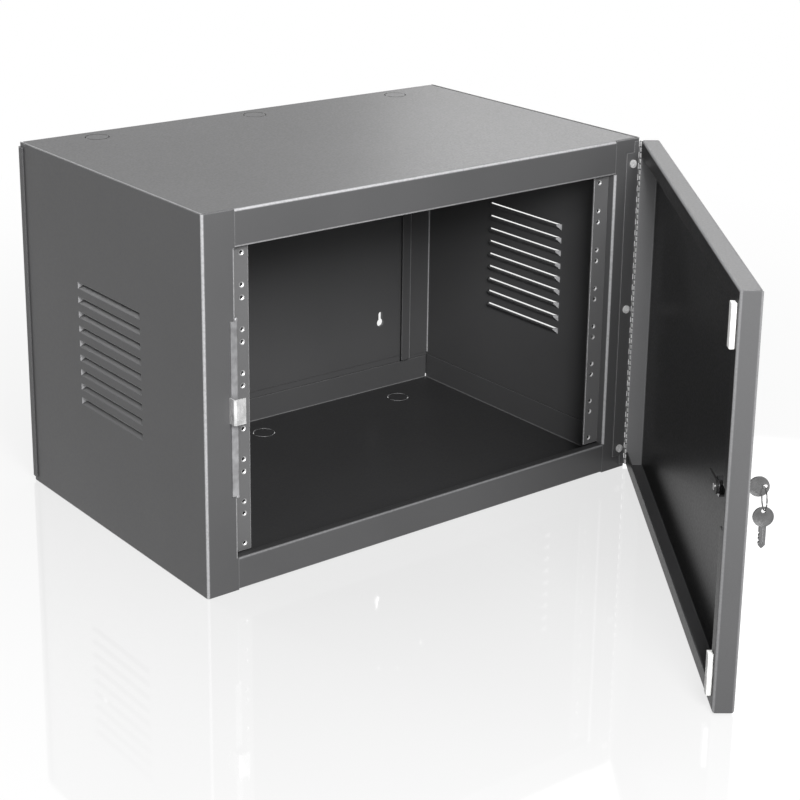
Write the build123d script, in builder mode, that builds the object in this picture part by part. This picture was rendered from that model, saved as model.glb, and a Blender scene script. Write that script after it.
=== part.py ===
from build123d import *
from math import cos, radians, sin
import os

os.makedirs("parts", exist_ok=True)

# Seven-unit wall mount rack: a folded steel cabinet with a lockable door on a piano hinge.
# Millimetres, +Z up, X to the viewer's right and the door side at -Y.
# The origin is the centre of the cabinet's underside, and the door is stored standing open.

# Cabinet shell
cabinet_width = 564.0
cabinet_depth = 366.0
cabinet_height = 387.5
sheet = 1.5
bend_radius = 3.0
opening_width = 492.0
bottom_rail = 34.0
top_rail = 37.5
opening_lip = 10.0
tray_side_flange = 33.0
tray_rear_flange = 31.0
side_rear_flange = 36.0
flange_clearance = 4.5
weld_gap = 0.5

# Louvres, pressed inward with the slot along the upper edge of each blade
louvre_count = 9
louvre_pitch = 15.92
louvre_top = 261.8
louvre_y = -1.5
louvre_length = 129.0
louvre_height = 8.7
louvre_depth = 6.5
louvre_lip = 1.8
louvre_end_slope = 5.0

# Round knock-outs for cables, held by two webs
knockout_radius = 13.2
knockout_slit = 0.9
knockout_web = 3.0
knockout_spacing = 203.0
roof_knockout_from_rear = 28.0
floor_knockout_from_rear = 41.5

# Back of the cabinet
back_margin = 5.0
back_flange = 10.0
plate_tuck = 1.4
plate_margin = 39.3
keyhole_spacing = 406.4
keyhole_rise = 207.5
keyhole_bottom = 90.0
keyhole_head_radius = 5.0
keyhole_slot_width = 5.5
keyhole_slot_rise = 11.3
upright_inset = 33.5
upright_face = 14.4
upright_depth = 5.5

# Rack rails, drilled to the 19 inch pattern
unit_height = 44.45
rack_hole_spacing = 465.1
rack_hole_from_edge = 6.35
rack_hole_radius = 2.4
rail_opening = 450.0
rail_side_gap = 20.0
rail_leg = 20.0
rail_sheet = 2.0

# Strike on the latch side of the opening
strike_height = 178.0
strike_face = 8.4
strike_leg = 6.0
strike_overhang = 1.5
keeper_height = 26.0
keeper_reach = 9.2
keeper_plate = 12.9
keeper_bend_radius = 2.4
strike_below_middle = 3.75

# Piano hinge
pin_stand_off = 2.9
pin_radius = 1.25
pin_running_fit = 0.05
hinge_gap = 0.3
hinge_sheet = 1.3
knuckle_pitch = 6.35
knuckle_flats = 12
bore_flats = 8
frame_leaf_width = 20.5
door_leaf_width = 16.0
leaf_clip_width = 11.0
leaf_clip_height = 12.0
hinge_screw_from_pin = 11.5
hinge_screw_from_floor = 24.4
hinge_screw_from_roof = 27.7
hinge_screw_count = 3
screw_head_radius = 4.5
screw_head_height = 2.4
screw_shank_radius = 2.0
screw_length = 8.0
screw_clearance = 0.1
screw_slot_width = 1.3
screw_slot_depth = 1.1

# Door
door_open_angle = 53.2
door_latch_margin = 16.5
door_edge_gap = 1.75
door_depth = 20.05
door_stand_off = 0.85
door_lip_height = 17.5
door_lip_latch = 16.0
keeper_notch_depth = 9.5
keeper_notch_margin = 6.0
bumper_width = 9.5
bumper_thickness = 5.0
bumper_length = 40.0
bumper_from_lip_edge = 0.5
bumper_from_end = 13.0

# Cam lock and keys
lock_from_latch_edge = 47.5
lock_head_radius = 11.0
lock_head_height = 2.5
lock_barrel_radius = 9.3
lock_barrel_flat = 15.6
lock_hole_clearance = 0.15
lock_nut_radius = 13.5
lock_nut_height = 3.5
lock_rear = 1.5
plug_radius = 5.8
plug_running_fit = 0.06
plug_collar_radius = 7.2
plug_collar_height = 1.5
plug_proud = 0.3
keyway_width = 2.3
keyway_depth = 17.0
cam_length = 33.0
cam_hub_radius = 6.5
cam_tip_radius = 4.5
cam_thickness = 2.0
cam_gap = 0.3
cam_square = 5.0
cam_screw_head_radius = 3.4
cam_screw_head_height = 2.0
cam_screw_radius = 1.5
cam_screw_depth = 8.0
key_thickness = 2.0
key_bow_radius = 9.5
key_hole_radius = 2.1
key_hole_from_bow = 5.6
key_blade_length = 20.0
key_blade_width = 6.4
key_tooth_pitch = 3.6
key_tooth_count = 4
key_tooth_depth = 1.4
key_bow_from_skin = 17.9
ring_radius = 10.2
ring_wire_radius = 0.6
wire_flats = 8
ring_slack = 0.3

# Places that follow from the sizes above
front_y = -cabinet_depth / 2
rear_y = cabinet_depth / 2
inner_rear_y = rear_y - sheet
side_x = cabinet_width / 2
tray_x = side_x - sheet
opening_x = opening_width / 2
opening_top = cabinet_height - top_rail
opening_height = opening_top - bottom_rail
rail_y = front_y + opening_lip
rail_inner_x = rail_opening / 2
rail_outer_x = side_x - rail_side_gap
rail_bottom = bottom_rail + sheet
rail_height = opening_height - 2 * sheet
rack_units = int(opening_height / unit_height)
rack_bottom = bottom_rail + (opening_height - rack_units * unit_height) / 2
plate_width = 2 * (side_x - upright_inset - upright_face + plate_tuck)
pin_x = side_x
pin_y = front_y - pin_stand_off
knuckle_radius = pin_stand_off - hinge_gap
knuckle_count = 2 * int(cabinet_height / (2 * knuckle_pitch))
hinge_length = knuckle_pitch * knuckle_count
hinge_bottom = (cabinet_height - hinge_length) / 2
leaf_notch = knuckle_radius + 2 * hinge_gap
hinge_screw_run = cabinet_height - hinge_screw_from_floor - hinge_screw_from_roof
hinge_screw_pitch = hinge_screw_run / (hinge_screw_count - 1)
strike_centre_z = cabinet_height / 2 - strike_below_middle
strike_bottom = strike_centre_z - strike_height / 2
strike_right_x = -opening_x + strike_overhang
keeper_left_x = strike_right_x - strike_face - sheet
door_width = cabinet_width - pin_stand_off - door_latch_margin
door_height = cabinet_height - 2 * door_edge_gap
door_skin = door_depth - door_stand_off
lock_from_pin = pin_stand_off + door_width - lock_from_latch_edge
lock_z = cabinet_height / 2
key_bow_out = door_skin + key_bow_from_skin
ring_out = key_bow_out + key_hole_from_bow
hole_play = key_hole_radius - ring_wire_radius - ring_slack
ring_z = lock_z - hole_play - ring_radius
spare_z = ring_z - ring_radius - hole_play - key_hole_from_bow

# The door's own frame turns about the hinge pin: X runs from the pin to the latch edge,
# Y points out of the door's front skin, and Z is up.
door_turn = radians(door_open_angle)
along_door = Vector(-cos(door_turn), -sin(door_turn), 0)
out_of_door = Vector(sin(door_turn), -cos(door_turn), 0)
door_plane = Plane(origin=(pin_x, pin_y, 0), x_dir=along_door, z_dir=(0, 0, 1))
lock_centre = door_plane.from_local_coords(Vector(lock_from_pin, 0, lock_z))
lock_plane = Plane(origin=lock_centre, x_dir=along_door, z_dir=out_of_door)


def finish_part(builder, name):
    """Label a finished sub-part and write its STEP file."""
    builder.part.label = name
    export_step(builder.part, f"parts/{name}.step")


def folded_sheet(plane, points, side, thickness=sheet, radius=bend_radius):
    """Section of a folded sheet whose outer skin follows the points."""
    with BuildSketch(plane) as section:
        with BuildLine():
            FilletPolyline(*points, radius=radius)
            offset(amount=thickness, side=side)
        make_face()
    return section.sketch


# Side panels

def louvre_wedge(top, inset):
    """Form of one louvre: the pressed metal with no inset, its hollow with one sheet of inset."""
    length = louvre_length - 2 * inset
    height = louvre_height - inset
    with BuildSketch(Plane.YZ.offset(-side_x)) as mouth:
        with Locations((louvre_y, top - height / 2)):
            Rectangle(length, height)
    with BuildSketch(Plane.YZ.offset(-side_x + louvre_depth - inset)) as tip:
        with Locations((louvre_y, top - louvre_lip / 2)):
            Rectangle(length - 2 * louvre_end_slope, louvre_lip)
    return Sketch() + [mouth.sketch, tip.sketch]


def side_panel():
    """Left side: skin, front stile with its returned lip, rear flange and louvres."""
    outline = [
        (-side_x + side_rear_flange, inner_rear_y),
        (-side_x, inner_rear_y),
        (-side_x, front_y),
        (-opening_x, front_y),
        (-opening_x, rail_y),
    ]
    flange_low = tray_rear_flange + flange_clearance
    flange_high = cabinet_height - flange_low
    with BuildPart() as panel:
        # The stile is folded back only beside the opening, and is flat where it meets the rails.
        beside = folded_sheet(Plane.XY.offset(bottom_rail), outline, Side.LEFT)
        extrude(beside, amount=opening_height)
        for low, high in ((0, bottom_rail), (opening_top, cabinet_height)):
            flat_end = folded_sheet(Plane.XY.offset(low), outline[:-1], Side.LEFT)
            extrude(flat_end, amount=high - low)
        # The rear flange stops short of the trays' flanges.
        for low, high in ((0, flange_low), (flange_high, cabinet_height)):
            with BuildSketch(Plane.XY.offset(low)):
                with Locations((-side_x + sheet, inner_rear_y)):
                    Rectangle(side_rear_flange, 2 * bend_radius, align=(Align.MIN, Align.MAX))
            extrude(amount=high - low, mode=Mode.SUBTRACT)
        tops = [louvre_top - row * louvre_pitch for row in range(louvre_count)]
        for top in tops:
            loft(louvre_wedge(top, 0).faces())
        for top in tops:
            loft(louvre_wedge(top, sheet).faces(), mode=Mode.SUBTRACT)
    return panel.part


def hinge_screw_places():
    """Centres of the frame leaf's screws on the cabinet's front face."""
    heights = [hinge_screw_from_floor + n * hinge_screw_pitch for n in range(hinge_screw_count)]
    return [(pin_x - hinge_screw_from_pin, height) for height in heights]


with BuildPart() as left_side_panel:
    add(side_panel())
finish_part(left_side_panel, "left_side_panel")

with BuildPart() as right_side_panel:
    add(side_panel())
    mirror(about=Plane.YZ, mode=Mode.REPLACE)
    with BuildSketch(Plane.XZ.offset(-front_y)):
        with Locations(*hinge_screw_places()):
            Circle(screw_shank_radius + screw_clearance)
    extrude(amount=-2 * sheet, mode=Mode.SUBTRACT)
finish_part(right_side_panel, "right_side_panel")


# Floor and roof

def tray(rail, knockout_y):
    """Tray that lies on its outer face: front rail with a lip, side flanges and rear flange."""
    strip = [
        (front_y + opening_lip, rail),
        (front_y, rail),
        (front_y, 0),
        (inner_rear_y, 0),
        (inner_rear_y, tray_rear_flange),
    ]
    trough = [
        (-tray_x, tray_side_flange),
        (-tray_x, 0),
        (tray_x, 0),
        (tray_x, tray_side_flange),
    ]
    strip_x = tray_x - bend_radius
    trough_rear = inner_rear_y - sheet
    trough_front = front_y + bend_radius + weld_gap
    with BuildPart() as part:
        section = folded_sheet(Plane.YZ.offset(-strip_x), strip, Side.LEFT)
        extrude(section, amount=2 * strip_x)
        # The rail fits between the stiles, and only the flat floor reaches behind them.
        for hand in (-1, 1):
            with BuildSketch(Plane.XY):
                with Locations((hand * (opening_x + strip_x) / 2, front_y)):
                    Rectangle(strip_x - opening_x, 2 * (bend_radius + weld_gap))
            extrude(amount=rail, mode=Mode.SUBTRACT)
            with BuildSketch(Plane.XY.offset(bend_radius)):
                with Locations((hand * (opening_x + strip_x) / 2, front_y)):
                    Rectangle(strip_x - opening_x, 2 * (opening_lip + weld_gap))
            extrude(amount=rail, mode=Mode.SUBTRACT)
        section = folded_sheet(Plane.XZ.offset(-trough_rear), trough, Side.LEFT)
        extrude(section, amount=trough_rear - trough_front)
        with BuildSketch(Plane.XY):
            with Locations((0, knockout_y)):
                with GridLocations(knockout_spacing, 0, 3, 1):
                    Circle(knockout_radius)
                    Circle(knockout_radius - knockout_slit, mode=Mode.SUBTRACT)
                    Rectangle(3 * knockout_radius, knockout_web, mode=Mode.SUBTRACT)
        extrude(amount=sheet, mode=Mode.SUBTRACT)
    return part.part


with BuildPart() as bottom_panel:
    add(tray(bottom_rail, rear_y - floor_knockout_from_rear))
finish_part(bottom_panel, "bottom_panel")

with BuildPart() as top_panel:
    add(tray(top_rail, rear_y - roof_knockout_from_rear))
    mirror(about=Plane.XY.offset(cabinet_height / 2), mode=Mode.REPLACE)
finish_part(top_panel, "top_panel")


# Back panel, the plate inside it and the two uprights

def keyholes(plane):
    """Four keyholes for the wall screws: a round hole with a slot above it."""
    middle = keyhole_bottom + keyhole_rise / 2
    with BuildSketch(plane) as holes:
        with Locations((0, middle)):
            with GridLocations(keyhole_spacing, keyhole_rise, 2, 2):
                Circle(keyhole_head_radius)
                Rectangle(keyhole_slot_width, keyhole_slot_rise, align=(Align.CENTER, Align.MIN))
        with Locations((0, middle + keyhole_slot_rise)):
            with GridLocations(keyhole_spacing, keyhole_rise, 2, 2):
                Circle(keyhole_slot_width / 2)
    return holes.sketch


back_x = side_x + sheet
back_outline = [
    (back_x, rear_y - back_flange),
    (back_x, rear_y),
    (-back_x, rear_y),
    (-back_x, rear_y - back_flange),
]
with BuildPart() as back_panel:
    back_section = folded_sheet(Plane.XY.offset(back_margin), back_outline, Side.LEFT)
    extrude(back_section, amount=cabinet_height - 2 * back_margin)
    extrude(keyholes(Plane.XZ.offset(-rear_y)), amount=sheet, mode=Mode.SUBTRACT)
finish_part(back_panel, "back_panel")

plate_height = cabinet_height - 2 * plate_margin
with BuildPart() as wall_plate:
    with BuildSketch(Plane.XZ.offset(-inner_rear_y)):
        with Locations((0, cabinet_height / 2)):
            Rectangle(plate_width, plate_height)
    extrude(amount=sheet)
    extrude(keyholes(Plane.XZ.offset(-inner_rear_y)), amount=sheet, mode=Mode.SUBTRACT)
finish_part(wall_plate, "wall_plate")

upright_rear_y = inner_rear_y - sheet
upright_outline = [
    (side_x - upright_inset, upright_rear_y),
    (side_x - upright_inset, upright_rear_y - upright_depth),
    (side_x - upright_inset - upright_face, upright_rear_y - upright_depth),
]
upright_margin = tray_rear_flange + 2 * sheet
with BuildPart() as rear_upright_right:
    upright_section = folded_sheet(
        Plane.XY.offset(upright_margin), upright_outline, Side.RIGHT, radius=2 * sheet
    )
    extrude(upright_section, amount=cabinet_height - 2 * upright_margin)
finish_part(rear_upright_right, "rear_upright_right")

with BuildPart() as rear_upright_left:
    add(rear_upright_right.part)
    mirror(about=Plane.YZ, mode=Mode.REPLACE)
finish_part(rear_upright_left, "rear_upright_left")


# Rack rails, welded behind the stiles' lips

rail_outline = [
    (rail_inner_x, rail_y),
    (rail_outer_x, rail_y),
    (rail_outer_x, rail_y + rail_leg),
]
rack_holes = []
for unit in range(rack_units):
    unit_bottom = rack_bottom + unit * unit_height
    rack_holes.append((rack_hole_spacing / 2, unit_bottom + rack_hole_from_edge))
    rack_holes.append((rack_hole_spacing / 2, unit_bottom + unit_height - rack_hole_from_edge))

with BuildPart() as rack_rail_right:
    rail_section = folded_sheet(
        Plane.XY.offset(rail_bottom), rail_outline, Side.LEFT, thickness=rail_sheet, radius=2 * rail_sheet
    )
    extrude(rail_section, amount=rail_height)
    with BuildSketch(Plane.XZ.offset(-rail_y)):
        with Locations(*rack_holes):
            Circle(rack_hole_radius)
    extrude(amount=-rail_sheet, mode=Mode.SUBTRACT)
finish_part(rack_rail_right, "rack_rail_right")

with BuildPart() as rack_rail_left:
    add(rack_rail_right.part)
    mirror(about=Plane.YZ, mode=Mode.REPLACE)
finish_part(rack_rail_left, "rack_rail_left")


# Strike bar, an angle over the edge of the left stile, and the keeper that the cam goes behind

strike_outline = [
    (strike_right_x - strike_face, front_y - sheet),
    (strike_right_x, front_y - sheet),
    (strike_right_x, front_y + strike_leg),
]
with BuildPart() as strike_bar:
    strike_section = folded_sheet(
        Plane.XY.offset(strike_bottom), strike_outline, Side.LEFT, radius=1.2 * sheet
    )
    extrude(strike_section, amount=strike_height)
finish_part(strike_bar, "strike_bar")

keeper_bottom = strike_centre_z - keeper_height / 2
keeper_outline = [
    (keeper_left_x, front_y),
    (keeper_left_x, front_y - keeper_reach),
    (keeper_left_x + keeper_plate, front_y - keeper_reach),
]
with BuildPart() as strike_keeper:
    keeper_section = folded_sheet(
        Plane.XY.offset(keeper_bottom), keeper_outline, Side.LEFT, radius=keeper_bend_radius
    )
    extrude(keeper_section, amount=keeper_height)
finish_part(strike_keeper, "strike_keeper")


# Piano hinge: two leaves with rolled knuckles in turn along one pin.
# The knuckles are many and small, so flats stand for their round outside and bore.

def hinge_leaf(plane, width, first_knuckle):
    """Leaf in its own frame: X towards the face that it lies on, Y along the leaf from the pin."""
    leaf_x = pin_stand_off - hinge_sheet / 2
    with BuildPart() as leaf:
        with BuildSketch(plane.offset(hinge_bottom)):
            with Locations((leaf_x, leaf_notch)):
                Rectangle(hinge_sheet, width - leaf_notch, align=(Align.CENTER, Align.MIN))
        extrude(amount=hinge_length)
        for knuckle in range(first_knuckle, knuckle_count, 2):
            knuckle_bottom = hinge_bottom + knuckle * knuckle_pitch + hinge_gap / 2
            with BuildSketch(plane.offset(knuckle_bottom)):
                RegularPolygon(knuckle_radius, knuckle_flats)
                with Locations((leaf_x, 0)):
                    Rectangle(hinge_sheet, leaf_notch, align=(Align.CENTER, Align.MIN))
                RegularPolygon(
                    pin_radius + pin_running_fit, bore_flats, major_radius=False, mode=Mode.SUBTRACT
                )
            extrude(amount=knuckle_pitch - hinge_gap)
    return leaf.part


frame_leaf_plane = Plane(origin=(pin_x, pin_y, 0), x_dir=(0, 1, 0), z_dir=(0, 0, 1))
with BuildPart() as hinge_frame_leaf:
    add(hinge_leaf(frame_leaf_plane, frame_leaf_width, 0))
    with BuildSketch(Plane.XZ.offset(-front_y)):
        with Locations(*hinge_screw_places()):
            Circle(screw_shank_radius + screw_clearance)
        # Both free corners of the leaf are clipped.
        with Locations((pin_x - frame_leaf_width, hinge_bottom)):
            Rectangle(leaf_clip_width, leaf_clip_height, align=Align.MIN)
        with Locations((pin_x - frame_leaf_width, hinge_bottom + hinge_length)):
            Rectangle(leaf_clip_width, leaf_clip_height, align=(Align.MIN, Align.MAX))
    extrude(amount=hinge_sheet, mode=Mode.SUBTRACT)
finish_part(hinge_frame_leaf, "hinge_frame_leaf")

with BuildPart() as hinge_door_leaf:
    add(hinge_leaf(door_plane, door_leaf_width, 1))
finish_part(hinge_door_leaf, "hinge_door_leaf")

with BuildPart() as hinge_pin:
    with BuildSketch(Plane.XY.offset(hinge_bottom)):
        with Locations((pin_x, pin_y)):
            Circle(pin_radius)
    extrude(amount=hinge_length)
finish_part(hinge_pin, "hinge_pin")

# Slotted pan-head screws through the frame leaf
screw_seat = Plane.XZ.offset(-front_y + hinge_sheet)
with BuildPart() as hinge_screws:
    with BuildSketch(screw_seat):
        with Locations(*hinge_screw_places()):
            Circle(screw_head_radius)
    extrude(amount=screw_head_height)
    chamfer(edges().group_by(Axis.Y)[0], length=screw_head_height / 2)
    with BuildSketch(screw_seat.offset(screw_head_height - screw_slot_depth)):
        with Locations(*hinge_screw_places()):
            Rectangle(3 * screw_head_radius, screw_slot_width)
    extrude(amount=screw_head_height, mode=Mode.SUBTRACT)
    with BuildSketch(screw_seat):
        with Locations(*hinge_screw_places()):
            Circle(screw_shank_radius)
    extrude(amount=-screw_length)
finish_part(hinge_screws, "hinge_screws")


# Door: a pressed pan with returned lips at the top, the bottom and the latch edge

outward = Axis(door_plane.origin, out_of_door)
towards_latch = Axis(door_plane.origin, along_door)
with BuildPart() as door_panel:
    with BuildSketch(door_plane.offset(door_edge_gap)):
        with Locations((pin_stand_off, -door_stand_off)):
            Rectangle(door_width, door_depth, align=Align.MIN)
    extrude(amount=door_height)
    # The front skin folds round all four edges, and the hinge edge has no returned lip.
    skin_folds = faces().sort_by(outward)[-1].edges()
    lip_folds = faces().sort_by(outward)[0].edges().sort_by(towards_latch)[1:]
    fillet(skin_folds + lip_folds, radius=bend_radius)
    offset(amount=-sheet, mode=Mode.SUBTRACT)
    with BuildSketch(door_plane.offset(door_edge_gap + door_lip_height)):
        with Locations((pin_stand_off + sheet, -door_stand_off)):
            Rectangle(door_width - sheet - door_lip_latch, 2 * sheet, align=(Align.MIN, Align.CENTER))
    extrude(amount=door_height - 2 * door_lip_height, mode=Mode.SUBTRACT)
    # The latch lip is notched where the keeper comes through.
    notch_height = keeper_height + 2 * keeper_notch_margin
    lip_edge = pin_stand_off + door_width - door_lip_latch
    with BuildSketch(door_plane.offset(strike_centre_z - notch_height / 2)):
        with Locations((lip_edge, -door_stand_off)):
            Rectangle(2 * keeper_notch_depth, 2 * sheet)
    extrude(amount=notch_height, mode=Mode.SUBTRACT)
    with BuildSketch(lock_plane):
        Circle(lock_barrel_radius + lock_hole_clearance)
        Rectangle(3 * lock_barrel_radius, lock_barrel_flat + 2 * lock_hole_clearance, mode=Mode.INTERSECT)
    extrude(amount=2 * door_depth, mode=Mode.SUBTRACT)
finish_part(door_panel, "door_panel")


def bumper(bottom):
    """Foam strip stuck to the latch lip."""
    with BuildPart() as strip:
        with BuildSketch(door_plane.offset(bottom)):
            with Locations((lip_edge + bumper_from_lip_edge, -door_stand_off)):
                Rectangle(bumper_width, bumper_thickness, align=(Align.MIN, Align.MAX))
        extrude(amount=bumper_length)
    return strip.part


bumper_low = door_edge_gap + bumper_from_end
with BuildPart() as door_bumper_lower:
    add(bumper(bumper_low))
finish_part(door_bumper_lower, "door_bumper_lower")

with BuildPart() as door_bumper_upper:
    add(bumper(cabinet_height - bumper_low - bumper_length))
finish_part(door_bumper_upper, "door_bumper_upper")


# Cam lock

collar_bottom = door_skin + lock_head_height - plug_collar_height + plug_proud
with BuildPart() as lock_body:
    with BuildSketch(lock_plane.offset(lock_rear)):
        Circle(lock_barrel_radius)
        Rectangle(3 * lock_barrel_radius, lock_barrel_flat, mode=Mode.INTERSECT)
    extrude(amount=door_skin - lock_rear)
    with BuildSketch(lock_plane.offset(door_skin)):
        Circle(lock_head_radius)
    extrude(amount=lock_head_height)
    chamfer(edges().filter_by(GeomType.CIRCLE).sort_by(outward)[-1], length=lock_head_height / 3)
    with BuildSketch(lock_plane):
        Circle(plug_radius + plug_running_fit)
    extrude(amount=2 * door_depth, mode=Mode.SUBTRACT)
    with BuildSketch(lock_plane.offset(collar_bottom - cam_gap)):
        Circle(plug_collar_radius + plug_running_fit)
    extrude(amount=lock_head_height, mode=Mode.SUBTRACT)
finish_part(lock_body, "lock_body")

with BuildPart() as lock_nut:
    with BuildSketch(lock_plane.offset(door_skin - sheet)):
        RegularPolygon(lock_nut_radius, 6)
        Circle(lock_barrel_radius + lock_hole_clearance, mode=Mode.SUBTRACT)
    extrude(amount=-lock_nut_height)
finish_part(lock_nut, "lock_nut")

cam_outer = lock_rear - cam_gap
cam_inner = cam_outer - cam_thickness
with BuildPart() as lock_plug:
    with BuildSketch(lock_plane.offset(cam_outer)):
        Circle(plug_radius)
    extrude(amount=collar_bottom - cam_outer)
    with BuildSketch(lock_plane.offset(collar_bottom)):
        Circle(plug_collar_radius)
    extrude(amount=plug_collar_height)
    with BuildSketch(lock_plane.offset(cam_inner)):
        Rectangle(cam_square, cam_square)
    extrude(amount=cam_thickness)
    with BuildSketch(lock_plane.offset(collar_bottom + plug_collar_height)):
        Rectangle(keyway_width, key_blade_width + 4 * screw_clearance)
    extrude(amount=-keyway_depth, mode=Mode.SUBTRACT)
    with BuildSketch(lock_plane.offset(cam_inner)):
        Circle(cam_screw_radius + plug_running_fit)
    extrude(amount=cam_screw_depth, mode=Mode.SUBTRACT)
finish_part(lock_plug, "lock_plug")

with BuildPart() as lock_cam:
    with BuildSketch(lock_plane.offset(cam_inner)):
        with BuildSketch(mode=Mode.PRIVATE) as cam_ends:
            Circle(cam_hub_radius)
            with Locations((cam_tip_radius - cam_length, 0)):
                Circle(cam_tip_radius)
        make_hull(cam_ends.edges())
        Rectangle(cam_square + screw_clearance, cam_square + screw_clearance, mode=Mode.SUBTRACT)
    extrude(amount=cam_thickness)
finish_part(lock_cam, "lock_cam")

with BuildPart() as cam_screw:
    with BuildSketch(lock_plane.offset(cam_inner)):
        Circle(cam_screw_head_radius)
    extrude(amount=-cam_screw_head_height)
    chamfer(edges().sort_by(outward)[0], length=cam_screw_head_height / 3)
    with BuildSketch(lock_plane.offset(cam_inner)):
        Circle(cam_screw_radius)
    extrude(amount=cam_screw_depth - cam_thickness)
finish_part(cam_screw, "cam_screw")


# Keys: one in the plug, and its spare hanging from a ring through the first key's bow

def key(plane):
    """Flat key in its own frame: the bow is at the origin and the blade points along X."""
    blade_start = key_bow_radius / 2
    blade_end = key_bow_radius + key_blade_length
    half_width = key_blade_width / 2
    with BuildPart() as blank:
        with BuildSketch(plane):
            Circle(key_bow_radius)
            with Locations((-key_hole_from_bow, 0)):
                Circle(key_hole_radius, mode=Mode.SUBTRACT)
            with BuildLine():
                Polyline(
                    (blade_start, -half_width),
                    (blade_start, half_width),
                    (blade_end - half_width, half_width),
                    (blade_end, 0),
                    (blade_end - half_width, -half_width),
                    close=True,
                )
            make_face()
            for tooth in range(key_tooth_count):
                tooth_x = blade_end - half_width - tooth * key_tooth_pitch
                with Locations((tooth_x, -half_width)):
                    Rectangle(key_tooth_depth, 2 * key_tooth_depth, rotation=45, mode=Mode.SUBTRACT)
        extrude(amount=key_thickness / 2, both=True)
    return blank.part


def place_in_door(along, out, up):
    """Point given in the door's own frame."""
    return door_plane.from_local_coords(Vector(along, out, up))


with BuildPart() as key_in_lock:
    inserted = Plane(place_in_door(lock_from_pin, key_bow_out, lock_z), x_dir=-out_of_door, z_dir=along_door)
    add(key(inserted))
finish_part(key_in_lock, "key_in_lock")

with BuildPart() as spare_key:
    hanging = Plane(place_in_door(lock_from_pin, ring_out, spare_z), x_dir=(0, 0, -1), z_dir=along_door)
    add(key(hanging))
finish_part(spare_key, "spare_key")

ring_centre = place_in_door(lock_from_pin, ring_out, ring_z)
with BuildPart() as key_ring:
    with BuildSketch(Plane(ring_centre, x_dir=along_door, z_dir=(0, 0, 1))):
        with Locations((ring_radius, 0)):
            RegularPolygon(ring_wire_radius, wire_flats)
    revolve(axis=Axis(ring_centre, out_of_door))
finish_part(key_ring, "key_ring")
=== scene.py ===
import math

import bpy
from mathutils import Matrix, Vector


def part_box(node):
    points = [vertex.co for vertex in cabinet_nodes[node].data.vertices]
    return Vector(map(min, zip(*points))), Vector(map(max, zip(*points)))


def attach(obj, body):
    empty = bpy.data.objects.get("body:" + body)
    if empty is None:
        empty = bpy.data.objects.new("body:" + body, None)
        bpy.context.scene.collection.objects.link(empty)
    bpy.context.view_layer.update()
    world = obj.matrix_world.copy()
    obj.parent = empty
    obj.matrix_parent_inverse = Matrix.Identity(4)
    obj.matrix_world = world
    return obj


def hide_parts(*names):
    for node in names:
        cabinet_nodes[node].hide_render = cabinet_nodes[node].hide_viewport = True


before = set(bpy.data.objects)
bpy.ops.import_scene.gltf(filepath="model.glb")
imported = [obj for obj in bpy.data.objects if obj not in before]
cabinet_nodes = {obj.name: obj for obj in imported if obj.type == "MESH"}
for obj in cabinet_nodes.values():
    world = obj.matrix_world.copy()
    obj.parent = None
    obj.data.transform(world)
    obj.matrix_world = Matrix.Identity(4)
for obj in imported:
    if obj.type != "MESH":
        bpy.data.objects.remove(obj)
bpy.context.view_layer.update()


# Studio: the camera stands left of the cabinet and a little above it, with the lens dropped as on
# a view camera. The white floor runs out of sight and holds a faint, soft reflection.
bpy.ops.object.camera_add(
    location=(-1.1290, -1.55985, 0.82583),
    rotation=(math.radians(73.785), math.radians(-0.727), math.radians(-37.852)),
)
camera = bpy.context.object
camera.name = "studio_camera"
camera.data.lens = 82.05
camera.data.shift_y = -0.19
camera.data.clip_start = 0.05
camera.data.clip_end = 60.0
bpy.context.scene.camera = camera
bpy.context.scene.view_settings.view_transform = "Standard"

bpy.ops.mesh.primitive_plane_add(size=40.0, location=(0.0, 0.0, -0.0004))
studio_floor = bpy.context.object
studio_floor.name = "studio_floor"
floor_paint = bpy.data.materials.new("white_studio_floor")
floor_paint.use_nodes = True
nodes, links = floor_paint.node_tree.nodes, floor_paint.node_tree.links
nodes.clear()
floor_out = nodes.new("ShaderNodeOutputMaterial")
floor_matt = nodes.new("ShaderNodeBsdfDiffuse")
floor_matt.inputs["Color"].default_value = (0.9, 0.9, 0.9, 1.0)
floor_glow = nodes.new("ShaderNodeEmission")
floor_glow.inputs["Color"].default_value = (1.0, 1.0, 1.0, 1.0)
floor_shine = nodes.new("ShaderNodeBsdfGlossy")
floor_shine.inputs["Roughness"].default_value = 0.035
floor_shade = nodes.new("ShaderNodeMixShader")
floor_seen = nodes.new("ShaderNodeMixShader")
floor_place = nodes.new("ShaderNodeTexCoord")
floor_reach = nodes.new("ShaderNodeVectorMath")
floor_reach.operation = "LENGTH"
links.new(floor_place.outputs["Object"], floor_reach.inputs[0])
for floor_mix, near, far, most in ((floor_shade, 0.35, 1.5, 0.16), (floor_seen, 0.3, 1.15, 0.17)):
    floor_fade = nodes.new("ShaderNodeMapRange")
    floor_fade.inputs["From Min"].default_value = near
    floor_fade.inputs["From Max"].default_value = far
    floor_fade.inputs["To Min"].default_value = most
    floor_fade.inputs["To Max"].default_value = 0.0
    links.new(floor_reach.outputs["Value"], floor_fade.inputs["Value"])
    links.new(floor_fade.outputs[0], floor_mix.inputs["Fac"])
floor_dim = nodes.new("ShaderNodeBsdfDiffuse")
floor_dim.inputs["Color"].default_value = (0.35, 0.35, 0.35, 1.0)
floor_by_ray = nodes.new("ShaderNodeMixShader")
floor_ray = nodes.new("ShaderNodeLightPath")
floor_white = nodes.new("ShaderNodeMath")
floor_white.operation = "MAXIMUM"
links.new(floor_glow.outputs[0], floor_shade.inputs[1])
links.new(floor_matt.outputs[0], floor_shade.inputs[2])
links.new(floor_shade.outputs[0], floor_seen.inputs[1])
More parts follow.
